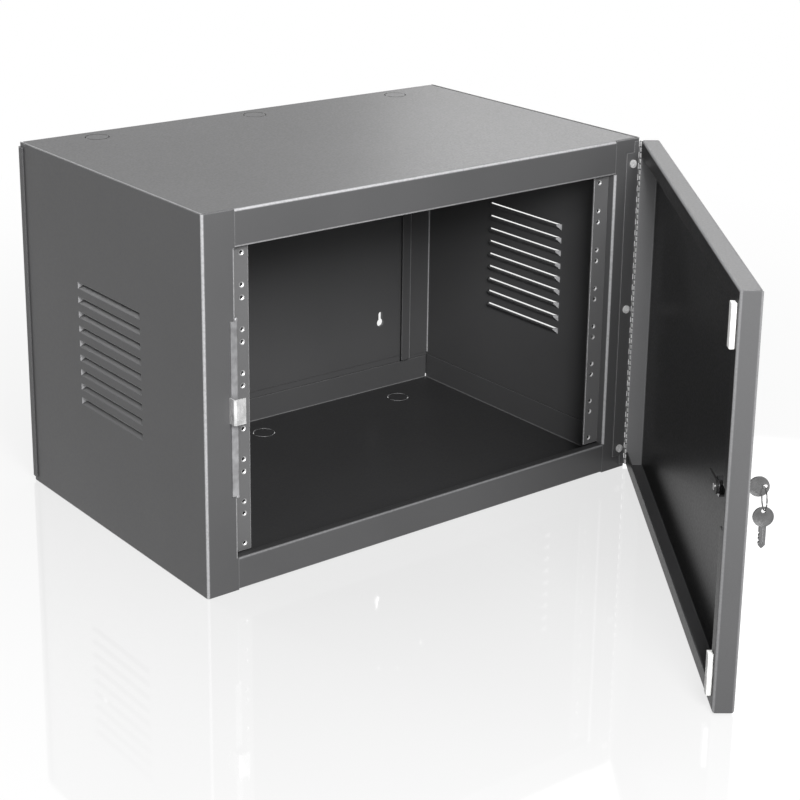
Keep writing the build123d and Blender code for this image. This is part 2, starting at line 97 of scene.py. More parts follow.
links.new(floor_shine.outputs[0], floor_seen.inputs[2])
links.new(floor_ray.outputs["Is Camera Ray"], floor_white.inputs[0])
links.new(floor_ray.outputs["Is Glossy Ray"], floor_white.inputs[1])
links.new(floor_white.outputs[0], floor_by_ray.inputs["Fac"])
links.new(floor_dim.outputs[0], floor_by_ray.inputs[1])
links.new(floor_seen.outputs[0], floor_by_ray.inputs[2])
links.new(floor_by_ray.outputs[0], floor_out.inputs["Surface"])
studio_floor.data.materials.append(floor_paint)

world = bpy.context.scene.world or bpy.data.worlds.new("studio_air")
bpy.context.scene.world = world
world.use_nodes = True
nodes, links = world.node_tree.nodes, world.node_tree.links
nodes.clear()
world_out = nodes.new("ShaderNodeOutputWorld")
world_seen = nodes.new("ShaderNodeBackground")
world_seen.inputs["Color"].default_value = (1.0, 1.0, 1.0, 1.0)
world_light = nodes.new("ShaderNodeBackground")
world_light.inputs["Color"].default_value = (1.0, 1.0, 1.0, 1.0)
world_light.inputs["Strength"].default_value = 0.38
world_ray = nodes.new("ShaderNodeLightPath")
world_white = nodes.new("ShaderNodeMath")
world_white.operation = "MAXIMUM"
world_mix = nodes.new("ShaderNodeMixShader")
links.new(world_ray.outputs["Is Camera Ray"], world_white.inputs[0])
links.new(world_ray.outputs["Is Glossy Ray"], world_white.inputs[1])
links.new(world_white.outputs[0], world_mix.inputs["Fac"])
links.new(world_light.outputs[0], world_mix.inputs[1])
links.new(world_seen.outputs[0], world_mix.inputs[2])
links.new(world_mix.outputs[0], world_out.inputs["Surface"])


def soft_box(name, spot, aim, width, height, power):
    """Soft light panel at a spot, turned towards the point that it lights."""
    turn = (Vector(aim) - Vector(spot)).to_track_quat("-Z", "Y").to_euler()
    bpy.ops.object.light_add(type="AREA", location=spot, rotation=turn)
    panel = bpy.context.object
    panel.name = name
    panel.data.shape = "RECTANGLE"
    panel.data.size = width
    panel.data.size_y = height
    panel.data.energy = power


soft_box("soft_box_left", (-0.85, -1.7, 0.95), (0.0, -0.1, 0.25), 0.6, 0.4, 13.0)
soft_box("soft_box_front", (-0.45, -1.3, 1.0), (-0.05, -0.2, 0.25), 0.5, 0.4, 18.0)
soft_box("soft_box_back", (1.9, 1.5, 1.3), (0.1, 0.0, 0.38), 1.1, 0.8, 6.5)
soft_box("soft_box_rear_fill", (-0.7, 2.2, 1.4), (0.0, 0.1, 0.25), 0.9, 0.7, 14.0)
soft_box("soft_box_right_fill", (2.3, -0.5, 1.2), (0.2, -0.2, 0.25), 0.9, 0.7, 9.0)


# Side panels: folded sheet steel with nine pressed louvres, sprayed with charcoal powder and baked,
# which leaves a satin skin with a fine orange peel. The folds are lightened as painted highlight.
middle_height = 0.19375
edge_band = 0.16
roof_sheet_height = 0.381
knockout_row_y = 0.1485
knockout_row_half = 0.0225
knockout_row_end = 0.235
hinge_wall_x = 0.26


def powder_coat(name, colour, roughness, fold_highlight, edge_highlight, shine, inside=None, turned=0.0):
    """Baked powder paint: drifting tone, fine peel, and painted highlight on folds and cut edges.

    The inner-face argument gives the axis, the sign, the height limit and the tone of the painted
    shade on the broad face that is inside.
    """
    paint = bpy.data.materials.new(name)
    paint.use_nodes = True
    nodes, links = paint.node_tree.nodes, paint.node_tree.links
    skin = nodes["Principled BSDF"]
    skin.inputs["Specular IOR Level"].default_value = shine

    def maths(operation, first, second):
        """One Math node fed by two sockets or numbers."""
        node = nodes.new("ShaderNodeMath")
        node.operation = operation
        for socket, value in zip(node.inputs, (first, second)):
            if isinstance(value, (int, float)):
                socket.default_value = value
            else:
                links.new(value, socket)
        return node.outputs[0]

    def ramp(value, low, high, at_low, at_high):
        """Map Range node from low..high to at_low..at_high."""
        node = nodes.new("ShaderNodeMapRange")
        node.inputs["From Min"].default_value = low
        node.inputs["From Max"].default_value = high
        node.inputs["To Min"].default_value = at_low
        node.inputs["To Max"].default_value = at_high
        links.new(value, node.inputs["Value"])
        return node.outputs[0]

    place = nodes.new("ShaderNodeTexCoord")
    drift = nodes.new("ShaderNodeTexNoise")
    drift.inputs["Scale"].default_value = 6.0
    drift.inputs["Detail"].default_value = 3.0
    peel = nodes.new("ShaderNodeTexNoise")
    peel.inputs["Scale"].default_value = 420.0
    peel.inputs["Detail"].default_value = 2.0
    grit = nodes.new("ShaderNodeTexVoronoi")
    grit.inputs["Scale"].default_value = 1500.0
    for texture in (drift, peel, grit):
        links.new(place.outputs["Object"], texture.inputs["Vector"])
    tone = ramp(drift.outputs["Fac"], 0.3, 0.7, 0.94, 1.06)
    fleck = ramp(grit.outputs["Distance"], 0.0, 0.7, 1.05, 0.96)

    # A fold is where the skin faces between two of the sheet's own directions.
    square_up = nodes.new("ShaderNodeMapping")
    square_up.vector_type = "VECTOR"
    square_up.inputs["Rotation"].default_value = (0.0, 0.0, -turned)
    links.new(place.outputs["Normal"], square_up.inputs["Vector"])
    facing = nodes.new("ShaderNodeSeparateXYZ")
    links.new(square_up.outputs[0], facing.inputs[0])
    face_x, face_y, face_z = (maths("ABSOLUTE", facing.outputs[k], 0.0) for k in range(3))
    spot = nodes.new("ShaderNodeSeparateXYZ")
    links.new(place.outputs["Object"], spot.inputs[0])
    from_middle = maths("ABSOLUTE", maths("SUBTRACT", spot.outputs[2], middle_height), 0.0)
    by_roof_or_floor = maths("GREATER_THAN", from_middle, edge_band)
    upright_fold = maths("MINIMUM", face_x, face_y)
    level_fold = maths("MINIMUM", face_y, face_z)
    side_fold = maths("MULTIPLY", maths("MINIMUM", face_x, face_z), by_roof_or_floor)
    # Painted highlight on the folds: level and side folds get less than upright ones, and more
    # towards the top, as if light fell from above.
    highlight_by_height = ramp(spot.outputs[2], 0.05, 0.37, 0.35, 0.9)
    low_folds = maths("MAXIMUM", level_fold, maths("MULTIPLY", side_fold, 0.8))
    low_folds = maths("MULTIPLY", low_folds, highlight_by_height)
    folded = ramp(maths("MAXIMUM", upright_fold, low_folds), 0.1, 0.5, 0.0, 1.0)

    # The Bevel node's normal leaves the sheet's own only beside a cut edge.
    rounded = nodes.new("ShaderNodeBevel")
    rounded.samples = 6
    rounded.inputs["Radius"].default_value = 0.0014
    bare = nodes.new("ShaderNodeNewGeometry")
    along = nodes.new("ShaderNodeVectorMath")
    along.operation = "DOT_PRODUCT"
    links.new(rounded.outputs["Normal"], along.inputs[0])
    links.new(bare.outputs["Normal"], along.inputs[1])
    # Painted highlight: cut edges are lightened, except on level faces.
    edge_highlight_mask = ramp(along.outputs["Value"], 0.995, 0.85, 0.0, edge_highlight)
    edge_highlight_mask = maths("MULTIPLY", edge_highlight_mask, ramp(face_z, 0.9, 0.98, 1.0, 0.0))
    # Fold and edge highlight, varied by the peel, lighten the base colour as painted highlight.
    painted_highlight = maths("MAXIMUM", folded, edge_highlight_mask)
    painted_highlight = maths("MULTIPLY", painted_highlight, ramp(peel.outputs["Fac"], 0.35, 0.6, 0.8, 1.1))
    lift = maths("MULTIPLY", tone, fleck)
    lift = maths("MULTIPLY", lift, ramp(painted_highlight, 0.0, 1.0, 1.0, fold_highlight))

    # Painted shade: the broad face that is inside when the piece is fitted is darkened.
    if inside:
        inner_axis, inner_sign, inner_limit, inner_shade_tone = inside
        inner_face = maths("MULTIPLY", facing.outputs[inner_axis], inner_sign)
        in_inner_shade = maths("GREATER_THAN", inner_face, 0.95)
        in_inner_shade = maths("MULTIPLY", in_inner_shade, maths("LESS_THAN", spot.outputs[2], inner_limit))
        lift = maths("MULTIPLY", lift, ramp(in_inner_shade, 0.0, 1.0, 1.0, inner_shade_tone))

    # The roof's knock-outs are cut through the sheet, and the round walls of their slits are
    # darkened nearly to black as painted shade.
    from_row = maths("ABSOLUTE", maths("SUBTRACT", spot.outputs[1], knockout_row_y), 0.0)
    slit_wall_shade = maths("GREATER_THAN", spot.outputs[2], roof_sheet_height)
    for beside in (
        maths("LESS_THAN", from_row, knockout_row_half),
        maths("LESS_THAN", maths("ABSOLUTE", spot.outputs[0], 0.0), knockout_row_end),
        maths("LESS_THAN", face_z, 0.5),
    ):
        slit_wall_shade = maths("MULTIPLY", slit_wall_shade, beside)
    lift = maths("MULTIPLY", lift, ramp(slit_wall_shade, 0.0, 1.0, 1.0, 0.03))

    # Painted light: the wall of a turned pan beside its hinge is lightened.
    if turned:
        hinge_wall_light = maths("MULTIPLY", maths("GREATER_THAN", facing.outputs[0], 0.95),
                           maths("GREATER_THAN", spot.outputs[0], hinge_wall_x))
        lift = maths("MULTIPLY", lift, ramp(hinge_wall_light, 0.0, 1.0, 1.0, 2.6))
    mixed = nodes.new("ShaderNodeVectorMath")
    mixed.operation = "SCALE"
    mixed.inputs[0].default_value = colour
    links.new(lift, mixed.inputs["Scale"])
    links.new(mixed.outputs["Vector"], skin.inputs["Base Color"])
    gloss = ramp(peel.outputs["Fac"], 0.3, 0.7, roughness - 0.04, roughness + 0.05)
    links.new(gloss, skin.inputs["Roughness"])
    bump = nodes.new("ShaderNodeBump")
    bump.inputs["Strength"].default_value = 0.16
    bump.inputs["Distance"].default_value = 0.0001
    relief = maths("ADD", maths("MULTIPLY", grit.outputs["Distance"], 0.35), peel.outputs["Fac"])
    links.new(relief, bump.inputs["Height"])
    links.new(rounded.outputs["Normal"], bump.inputs["Normal"])
    links.new(bump.outputs["Normal"], skin.inputs["Normal"])
    return paint


def dress(node_names, finish):
    """Gives CAD nodes their finish."""
    for node_name in node_names:
        piece = cabinet_nodes[node_name]
        piece.data.materials.clear()
        piece.data.materials.append(finish)


# The cabinet's folds and cut edges carry painted highlight, and its upward faces low inside carry
# painted shade.
cabinet_paint = powder_coat(
    "charcoal_powder_cabinet", (0.094, 0.094, 0.096), roughness=0.36, fold_highlight=5.0,
    edge_highlight=0.3, shine=0.25, inside=(2, 1.0, 0.1, 0.5),
)
dress(["left_side_panel", "right_side_panel"], cabinet_paint)


# Floor and roof: folded trays of the same painted sheet, each with three round cable knock-outs
# still held by their webs. The trays are spot-welded inside the side panels.
dress(["bottom_panel", "top_panel"], cabinet_paint)


# Back: a shallow pan that laps over the sides, a plate inside it for the wall screws, and two
# folded uprights, all painted with the cabinet.
dress(["back_panel", "wall_plate"], cabinet_paint)
dress(["rear_upright_left", "rear_upright_right"], cabinet_paint)


# Rack rails: thicker sheet, welded behind the stiles and drilled and tapped on the rack pattern.
# They have the same powder in a lighter coat, and the taps have cut it away inside the holes.
# The rails' folds and cut edges carry painted highlight.
rail_paint = powder_coat(
    "charcoal_powder_rails", (0.135, 0.135, 0.137), roughness=0.34, fold_highlight=4.0,
    edge_highlight=1.0, shine=0.3,
)
dress(["rack_rail_left", "rack_rail_right"], rail_paint)


def bare_metal(name, colour, roughness, streak, metallic=1.0):
    """Plated or bare steel: fine drawn lines, faint stains and small pits."""
    metal = bpy.data.materials.new(name)
    metal.use_nodes = True
    nodes, links = metal.node_tree.nodes, metal.node_tree.links
    skin = nodes["Principled BSDF"]
    skin.inputs["Metallic"].default_value = metallic
    place = nodes.new("ShaderNodeTexCoord")
    stretch = nodes.new("ShaderNodeMapping")
    stretch.inputs["Scale"].default_value = streak
    links.new(place.outputs["Object"], stretch.inputs["Vector"])
    lines = nodes.new("ShaderNodeTexNoise")
    lines.inputs["Scale"].default_value = 1.0
    lines.inputs["Detail"].default_value = 4.0
    links.new(stretch.outputs[0], lines.inputs["Vector"])
    stain = nodes.new("ShaderNodeTexNoise")
    stain.inputs["Scale"].default_value = 90.0
    stain.inputs["Detail"].default_value = 3.0
    links.new(place.outputs["Object"], stain.inputs["Vector"])
    tint = nodes.new("ShaderNodeValToRGB")
    tint.color_ramp.elements[0].position = 0.32
    tint.color_ramp.elements[0].color = (*[share * 0.62 for share in colour], 1.0)
    tint.color_ramp.elements[1].position = 0.66
    tint.color_ramp.elements[1].color = (*colour, 1.0)
    links.new(stain.outputs["Fac"], tint.inputs["Fac"])
    links.new(tint.outputs["Color"], skin.inputs["Base Color"])
    gloss = nodes.new("ShaderNodeMapRange")
    gloss.inputs["From Min"].default_value = 0.3
    gloss.inputs["From Max"].default_value = 0.7
    gloss.inputs["To Min"].default_value = max(0.04, roughness - 0.08)
    gloss.inputs["To Max"].default_value = roughness + 0.1
    links.new(lines.outputs["Fac"], gloss.inputs["Value"])
    links.new(gloss.outputs[0], skin.inputs["Roughness"])
    bump = nodes.new("ShaderNodeBump")
    bump.inputs["Strength"].default_value = 0.2
    bump.inputs["Distance"].default_value = 0.00006
    links.new(lines.outputs["Fac"], bump.inputs["Height"])
    links.new(bump.outputs["Normal"], skin.inputs["Normal"])
    return metal


def alone(piece):
    """Selects one piece and makes it active."""
    bpy.ops.object.select_all(action="DESELECT")
    piece.select_set(True)
    bpy.context.view_layer.objects.active = piece


def pick(piece, wanted):
    """In edit mode, selects the faces that the test wants."""
    bpy.ops.object.mode_set(mode="OBJECT")
    for edge in piece.data.edges:
        edge.select = False
    for vertex in piece.data.vertices:
        vertex.select = False
    for face in piece.data.polygons:
        face.select = wanted(face)
    bpy.ops.object.mode_set(mode="EDIT")


def settle(piece, place):
    """Puts a piece in its place and applies that, so that the place is in the mesh."""
    alone(piece)
    piece.matrix_world = place
    bpy.ops.object.transform_apply(location=True, rotation=True, scale=True)


def own_copy(pattern):
    """Copies a piece together with its mesh."""
    copy = pattern.copy()
    copy.data = pattern.data.copy()
    bpy.context.collection.objects.link(copy)
    return copy


def set_out(pattern, places, name):
    """Sets a copy of the pattern at each place and joins the copies as one piece."""
    copies = []
    for place in places:
        copy = own_copy(pattern)
        copy.matrix_world = place
        copies.append(copy)
    bpy.ops.object.select_all(action="DESELECT")
    for copy in copies:
        copy.select_set(True)
    bpy.context.view_layer.objects.active = copies[0]
    bpy.ops.object.join()
    bpy.ops.object.transform_apply(location=True, rotation=True, scale=True)
    copies[0].name = name
    return copies[0]


# The threads are a band of fine ridges in each hole, 0.4 mm from crest to crest.
tapped_steel = bare_metal("tapped_steel", (0.9, 0.9, 0.9), 0.3, (200.0, 4000.0, 200.0), 0.35)
rail_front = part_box("rack_rail_left")[0].y
rail_thickness = 0.002
rail_hole_x = 0.23255
hole_radius = 0.0024
thread_depth = 0.0003
thread_ridges = 10
rack_unit = 0.04445
hole_from_unit_edge = 0.00635
lowest_unit = 0.036425
rack_units = 7
bpy.ops.object.select_all(action="DESELECT")
bpy.ops.mesh.primitive_circle_add(vertices=20, radius=hole_radius,
                                  rotation=(math.radians(90.0), 0.0, 0.0))
thread_band = bpy.context.object
bpy.ops.object.transform_apply(location=False, rotation=True, scale=False)
bpy.ops.object.mode_set(mode="EDIT")
narrow = (hole_radius - thread_depth) / hole_radius
for ridge in range(thread_ridges):
    bpy.ops.mesh.extrude_edges_move(
        TRANSFORM_OT_translate={"value": (0.0, rail_thickness / thread_ridges, 0.0)})
    size = narrow if ridge % 2 == 0 else 1 / narrow
    bpy.ops.transform.resize(value=(size, 1.0, size), center_override=(0.0, 0.0, 0.0))
bpy.ops.mesh.select_all(action="SELECT")
bpy.ops.mesh.normals_make_consistent(inside=True)
bpy.ops.object.mode_set(mode="OBJECT")
for hand, side_name in ((-1, "left"), (1, "right")):
    hole_places = [
        Matrix.Translation((hand * rail_hole_x, rail_front, lowest_unit + level * rack_unit + lift))
        for level in range(rack_units)
        for lift in (hole_from_unit_edge, rack_unit - hole_from_unit_edge)
    ]
    threads = set_out(thread_band, hole_places, "rack_threads_" + side_name)
    bpy.ops.object.shade_smooth_by_angle(angle=math.radians(20.0))
    threads.data.materials.append(tapped_steel)
    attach(threads, "cabinet")
bpy.data.objects.remove(thread_band)


# Strike: a zinc-plated angle over the edge of the left stile, with a folded keeper that the cam
# goes behind. Small tack welds hold the angle at its ends.
strike_zinc = bare_metal("zinc_plated_strike", (0.42, 0.42, 0.43), 0.4, (900.0, 900.0, 60.0), 0.5)
keeper_steel = bare_metal("bright_keeper", (0.95, 0.95, 0.95), 0.24, (700.0, 700.0, 90.0), 0.55)
dress(["strike_bar"], strike_zinc)
dress(["strike_keeper"], keeper_steel)
weld_radius = 0.0021
weld_x = -0.2463
weld_y = -0.1834
bpy.ops.object.select_all(action="DESELECT")
bpy.ops.mesh.primitive_ico_sphere_add(subdivisions=3, radius=weld_radius)
weld_bead = bpy.context.object
bpy.ops.object.mode_set(mode="EDIT")
bpy.ops.transform.resize(value=(1.0, 0.55, 1.25), center_override=(0.0, 0.0, 0.0))
bpy.ops.transform.vertex_random(offset=0.00012, seed=4)
bpy.ops.object.mode_set(mode="OBJECT")
bpy.ops.object.shade_smooth()
for weld_name, weld_z in (("strike_weld_upper", 0.2796), ("strike_weld_lower", 0.1005)):
    weld = own_copy(weld_bead)
    weld.name = weld_name
    settle(weld, Matrix.Translation((weld_x, weld_y, weld_z)))
    weld.data.materials.append(strike_zinc)
    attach(weld, "cabinet")
bpy.data.objects.remove(weld_bead)


# Piano hinge: two painted leaves whose rolled knuckles take turns on a steel pin. The frame leaf
# is screwed to the right stile, and the door leaf is welded to the door.
# The hinge paint carries painted highlight on its folds and cut edges.
hinge_paint = powder_coat(
    "charcoal_powder_hinge", (0.1, 0.1, 0.102), roughness=0.34, fold_highlight=3.0,
    edge_highlight=0.8, shine=0.25,
)
hinge_steel = bare_metal("hinge_pin_steel", (0.55, 0.55, 0.55), 0.28, (900.0, 900.0, 900.0))
dress(["hinge_frame_leaf", "hinge_door_leaf"], hinge_paint)
dress(["hinge_pin"], hinge_steel)

# Each knuckle is a bright steel roll with eased rims; its near-white colour is painted highlight on
# the barrel.
knuckle_steel = bare_metal(
    "knuckle_steel_painted_highlight", (0.86, 0.86, 0.86), 0.28, (900.0, 900.0, 200.0), 0.5)
hinge_line = Vector((0.282, -0.1859, 0.0))
hinge_bottom = 0.00325
knuckle_pitch = 0.00635
knuckle_count = 60
knuckle_radius = 0.00282
knuckle_length = 0.005
lowest_roll = hinge_line + Vector((0.0, 0.0, hinge_bottom + knuckle_pitch / 2))
bpy.ops.object.select_all(action="DESELECT")
bpy.ops.mesh.primitive_cylinder_add(vertices=28, radius=knuckle_radius, depth=knuckle_length)
knuckle_roll = bpy.context.object
rim = knuckle_roll.modifiers.new("rim", "BEVEL")
rim.width = 0.0004
rim.segments = 2
rim.limit_method = "ANGLE"
rim.angle_limit = math.radians(50.0)
bpy.ops.object.modifier_apply(modifier="rim")
for roll_name, first_knuckle, roll_body in (
    ("rolled_knuckles_frame", 0, "cabinet"),
    ("rolled_knuckles_door", 1, "door"),
):
    roll_places = [
        Matrix.Translation(lowest_roll + Vector((0.0, 0.0, knuckle * knuckle_pitch)))
        for knuckle in range(first_knuckle, knuckle_count, 2)
    ]
    rolls = set_out(knuckle_roll, roll_places, roll_name)
    bpy.ops.object.shade_smooth_by_angle(angle=math.radians(40.0))
    rolls.data.materials.append(knuckle_steel)
    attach(rolls, roll_body)
bpy.data.objects.remove(knuckle_roll)

# The frame leaf's own edge closes the notches behind the door's knuckles.
leaf_edge_x = 0.2786
leaf_edge_y = -0.1836
leaf_edge_size = (0.0020, 0.0008, 0.3805)
bpy.ops.object.select_all(action="DESELECT")
bpy.ops.mesh.primitive_cube_add(size=1.0, location=(leaf_edge_x, leaf_edge_y, middle_height))
leaf_edge = bpy.context.object
leaf_edge.name = "hinge_leaf_edge"
leaf_edge.scale = leaf_edge_size
bpy.ops.object.transform_apply(location=True, rotation=False, scale=True)
edge_round = leaf_edge.modifiers.new("edge_round", "BEVEL")
edge_round.width = 0.0002
edge_round.segments = 2
bpy.ops.object.modifier_apply(modifier="edge_round")
leaf_edge.data.materials.append(hinge_paint)
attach(leaf_edge, "cabinet")


# Hinge screws: three slotted pan heads of plated steel, driven through the frame leaf, in a
# near-white, mostly non-metal colour that is painted highlight. Each head is domed, and the edges
# of its slot are eased.
def cut_away(piece, cutter):
    """Subtracts the cutter from the piece and throws the cutter away."""
    alone(piece)
    cut = piece.modifiers.new("cut", "BOOLEAN")
    cut.operation = "DIFFERENCE"
    cut.object = cutter
    bpy.ops.object.modifier_apply(modifier="cut")
    bpy.data.objects.remove(cutter)


screw_steel = bare_metal(
    "screw_steel_painted_highlight", (0.98, 0.98, 0.98), 0.3, (1400.0, 1400.0, 1400.0), 0.1)
screw_radius = 0.0045
screw_height = 0.0024
dome_steps = ((0.9, 0.0), (0.86, 0.00012), (0.8, 0.0001), (0.6, 0.00012), (0.4, 0.00006))
domed_height = screw_height + sum(rise for share, rise in dome_steps)
screw_slot_size = (0.012, 0.001, 0.0014)
screw_x = 0.2705
bpy.ops.object.select_all(action="DESELECT")
bpy.ops.mesh.primitive_cylinder_add(vertices=48, radius=screw_radius, depth=screw_height,
                                    location=(0.0, 0.0, screw_height / 2))
screw_head = bpy.context.object
bpy.ops.object.transform_apply(location=True, rotation=False, scale=False)
pick(screw_head, lambda face: face.normal.z > 0.9)
for share, rise in dome_steps:
    bpy.ops.mesh.extrude_region_move(TRANSFORM_OT_translate={"value": (0.0, 0.0, rise)})
    bpy.ops.transform.resize(value=(share, share, 1.0), center_override=(0.0, 0.0, 0.0))
bpy.ops.mesh.select_all(action="SELECT")
bpy.ops.transform.resize(value=(1.0, 1.0, screw_height / domed_height),
                         center_override=(0.0, 0.0, 0.0))
bpy.ops.object.mode_set(mode="OBJECT")
bpy.ops.object.select_all(action="DESELECT")
bpy.ops.mesh.primitive_cube_add(size=1.0, location=(0.0, 0.0, screw_height))
slot_cutter = bpy.context.object
slot_cutter.scale = screw_slot_size
cut_away(screw_head, slot_cutter)
screw_rim = screw_head.modifiers.new("screw_rim", "BEVEL")
screw_rim.width = 0.00012
screw_rim.segments = 2
screw_rim.limit_method = "ANGLE"
screw_rim.angle_limit = math.radians(35.0)
bpy.ops.object.modifier_apply(modifier="screw_rim")
leaf_face = -0.1843
screw_places = [
    Matrix.Translation((screw_x, leaf_face, screw_z)) @ Matrix.Rotation(math.radians(90.0), 4, "X")
    @ Matrix.Rotation(math.radians(slot_turn), 4, "Z")
    for screw_z, slot_turn in ((0.0244, 62.0), (0.1921, 8.0), (0.3598, 35.0))
]
screws = set_out(screw_head, screw_places, "hinge_screw_heads")
bpy.data.objects.remove(screw_head)
bpy.ops.object.shade_smooth_by_angle(angle=math.radians(32.0))
screws.data.materials.append(screw_steel)
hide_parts("hinge_screws")
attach(screws, "cabinet")


# Door: one pressed pan of sheet steel with returned lips, painted with the same charcoal powder.
# It turns on the piano hinge, and what belongs to it is placed in its own frame.
door_turn = math.radians(53.2)
# The door's paint carries painted highlight on folds and cut edges, painted shade on its inner face
# and painted light on the wall beside the hinge.
door_paint = powder_coat(
    "charcoal_powder_door", (0.1, 0.1, 0.102), roughness=0.34, fold_highlight=2.2,
    edge_highlight=0.5, shine=0.12, inside=(1, -1.0, 1.0, 0.2), turned=math.pi + door_turn,
)
dress(["door_panel"], door_paint)
along_door = Vector((-math.cos(door_turn), -math.sin(door_turn), 0.0))
out_of_door = Vector((math.sin(door_turn), -math.cos(door_turn), 0.0))
door_frame = Matrix.Translation(hinge_line) @ Matrix(
    ((along_door.x, out_of_door.x, 0.0), (along_door.y, out_of_door.y, 0.0), (0.0, 0.0, 1.0))
).to_4x4()


# Bumpers: two strips of white closed-cell foam, stuck to the latch lip near its ends. They are cut
# with a knife, so their edges are soft but square.
foam = bpy.data.materials.new("white_closed_cell_foam")
foam.use_nodes = True
nodes, links = foam.node_tree.nodes, foam.node_tree.links
foam_skin = nodes["Principled BSDF"]
foam_skin.inputs["Subsurface Weight"].default_value = 0.15
foam_skin.inputs["Subsurface Radius"].default_value = (0.002, 0.002, 0.002)
foam_place = nodes.new("ShaderNodeTexCoord")
foam_cells = nodes.new("ShaderNodeTexVoronoi")
foam_cells.inputs["Scale"].default_value = 1300.0
foam_grime = nodes.new("ShaderNodeTexNoise")
foam_grime.inputs["Scale"].default_value = 60.0
links.new(foam_place.outputs["Object"], foam_cells.inputs["Vector"])
links.new(foam_place.outputs["Object"], foam_grime.inputs["Vector"])
foam_tone = nodes.new("ShaderNodeValToRGB")
foam_tone.color_ramp.elements[0].position = 0.3
foam_tone.color_ramp.elements[0].color = (0.74, 0.74, 0.72, 1.0)
foam_tone.color_ramp.elements[1].position = 0.6
foam_tone.color_ramp.elements[1].color = (0.86, 0.86, 0.85, 1.0)
links.new(foam_grime.outputs["Fac"], foam_tone.inputs["Fac"])
links.new(foam_tone.outputs["Color"], foam_skin.inputs["Base Color"])
foam_skin.inputs["Roughness"].default_value = 0.8
foam_bump = nodes.new("ShaderNodeBump")
foam_bump.inputs["Strength"].default_value = 0.4
foam_bump.inputs["Distance"].default_value = 0.00015
links.new(foam_cells.outputs["Distance"], foam_bump.inputs["Height"])
links.new(foam_bump.outputs["Normal"], foam_skin.inputs["Normal"])
pad_size = (0.0093, 0.0048, 0.0398)
pad_along = 0.53675
pad_out = -0.00335
slice_height = 0.004
for pad_name, pad_node, pad_middle, pad_seed in (
    ("foam_bumper_lower", "door_bumper_lower", 0.03475, 3),
    ("foam_bumper_upper", "door_bumper_upper", 0.35275, 8),
):
    bpy.ops.object.select_all(action="DESELECT")
    bpy.ops.mesh.primitive_cube_add(size=1.0)
    pad = bpy.context.object
    pad.name = pad_name
    pad.scale = pad_size
    bpy.ops.object.transform_apply(location=False, rotation=False, scale=True)
    soft_edge = pad.modifiers.new("soft_edge", "BEVEL")
    soft_edge.width = 0.0007
    soft_edge.segments = 3
    bpy.ops.object.modifier_apply(modifier="soft_edge")
    bpy.ops.object.mode_set(mode="EDIT")
    bpy.ops.mesh.select_all(action="SELECT")
    for level in range(-4, 5):
        slice_at = (0.0, 0.0, level * slice_height)
        bpy.ops.mesh.bisect(plane_co=slice_at, plane_no=(0.0, 0.0, 1.0))
        bpy.ops.mesh.select_all(action="SELECT")
    bpy.ops.transform.vertex_random(offset=0.00006, seed=pad_seed)
    bpy.ops.object.mode_set(mode="OBJECT")
    settle(pad, door_frame @ Matrix.Translation((pad_along, pad_out, pad_middle)))
    bpy.ops.object.shade_smooth_by_angle(angle=math.radians(50.0))
    pad.data.materials.append(foam)
    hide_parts(pad_node)
    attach(pad, "door")


# Cam lock: a chromed body clamped in the door by a blacked hexagon nut, with a keyed plug that
# carries the flat cam on its square end.
lock_chrome = bare_metal("lock_chrome", (0.3, 0.3, 0.31), 0.18, (300.0, 300.0, 300.0))
lock_zinc = bare_metal("lock_zinc", (0.5, 0.5, 0.5), 0.3, (500.0, 500.0, 500.0))
cam_black = bare_metal("blacked_cam_steel", (0.03, 0.03, 0.03), 0.45, (500.0, 500.0, 500.0), 0.3)
dress(["lock_body", "lock_plug"], lock_chrome)
dress(["cam_screw"], lock_zinc)
dress(["lock_nut", "lock_cam"], cam_black)


# Keys: blanked from nickel-plated brass, with a round bow, a bare sunk field, a milled groove down
# the blade and four cuts. One is in the plug and its spare hangs from a wire ring.
key_nickel = bare_metal("key_nickel", (0.22, 0.22, 0.222), 0.24, (1200.0, 400.0, 400.0))
key_thick = 0.002
bow_radius = 0.0095
bow_hole = 0.0021
hole_from_middle = 0.0056
field_margin = 0.0012
field_edge = 0.0003
field_sink = 0.00018
blade_start = 0.0085
blade_end = 0.0295
blade_half = 0.0032
groove_spot = (0.0215, 0.0004, 0.0011)
groove_size = (0.022, 0.0012, 0.001)
first_cut_x = 0.0262
cut_pitch = 0.0036
cut_sides = (0.0012, 0.0021, 0.0009, 0.0017)

# The key is made with its bow at the origin and its blade along X, first the bow's sunk field.
bpy.ops.object.select_all(action="DESELECT")
bpy.ops.mesh.primitive_cylinder_add(vertices=64, radius=bow_radius, depth=key_thick)
inserted_key = bpy.context.object
inserted_key.name = "inserted_key"
pick(inserted_key, lambda face: abs(face.normal.z) > 0.9)
bpy.ops.mesh.inset(thickness=field_margin, depth=0.0)
bpy.ops.mesh.inset(thickness=field_edge, depth=-field_sink)
bpy.ops.object.mode_set(mode="OBJECT")

# The blade is a bar with a blunt point.
bpy.ops.object.select_all(action="DESELECT")
bpy.ops.mesh.primitive_cylinder_add(vertices=4, radius=1.0, depth=key_thick)
blade = bpy.context.object
bpy.ops.object.mode_set(mode="EDIT")
bpy.ops.transform.rotate(value=math.radians(45.0), orient_axis="Z",
                         center_override=(0.0, 0.0, 0.0))
bpy.ops.object.mode_set(mode="OBJECT")
for vertex in blade.data.vertices:
    vertex.co.x = blade_end - blade_half if vertex.co.x > 0 else blade_start
    vertex.co.y = math.copysign(blade_half, vertex.co.y)
pick(blade, lambda face: face.normal.x > 0.9)
bpy.ops.mesh.extrude_region_move(TRANSFORM_OT_translate={"value": (blade_half, 0.0, 0.0)})
bpy.ops.transform.resize(value=(1.0, 0.12, 1.0), center_override=(0.0, 0.0, 0.0))
bpy.ops.object.mode_set(mode="OBJECT")

